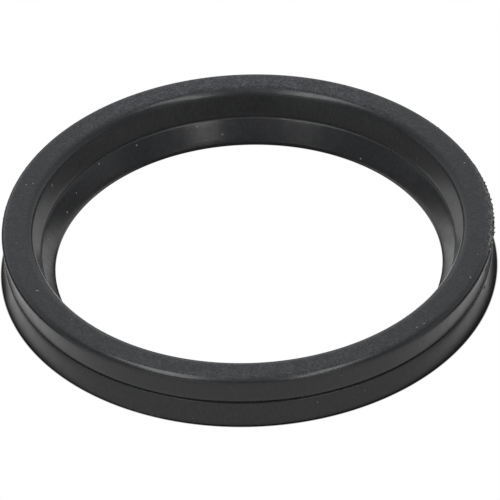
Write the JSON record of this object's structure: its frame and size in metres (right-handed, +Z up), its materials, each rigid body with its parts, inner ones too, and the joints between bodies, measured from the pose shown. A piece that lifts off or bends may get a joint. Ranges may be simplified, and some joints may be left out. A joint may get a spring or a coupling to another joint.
{
  "type": "hose gasket",
  "caption": "Moulded black rubber sealing ring with a narrow flat rim, a wide flat foot, a funnel-shaped hole and a fine groove round both walls.",
  "frame": {"origin": "centre of the foot face, on the ring's axis, at the bottom of the bounding box", "axes": "+Z up along the ring's axis, from the wide foot to the narrow rim"},
  "size_m": [0.0808, 0.0808, 0.0091],
  "materials": {
    "black_rubber": "satin, finely grained, with moulding flash and dust"
  },
  "bodies": {
    "root": {"gasket_ring": "black_rubber"}
  },
  "joints": []
}
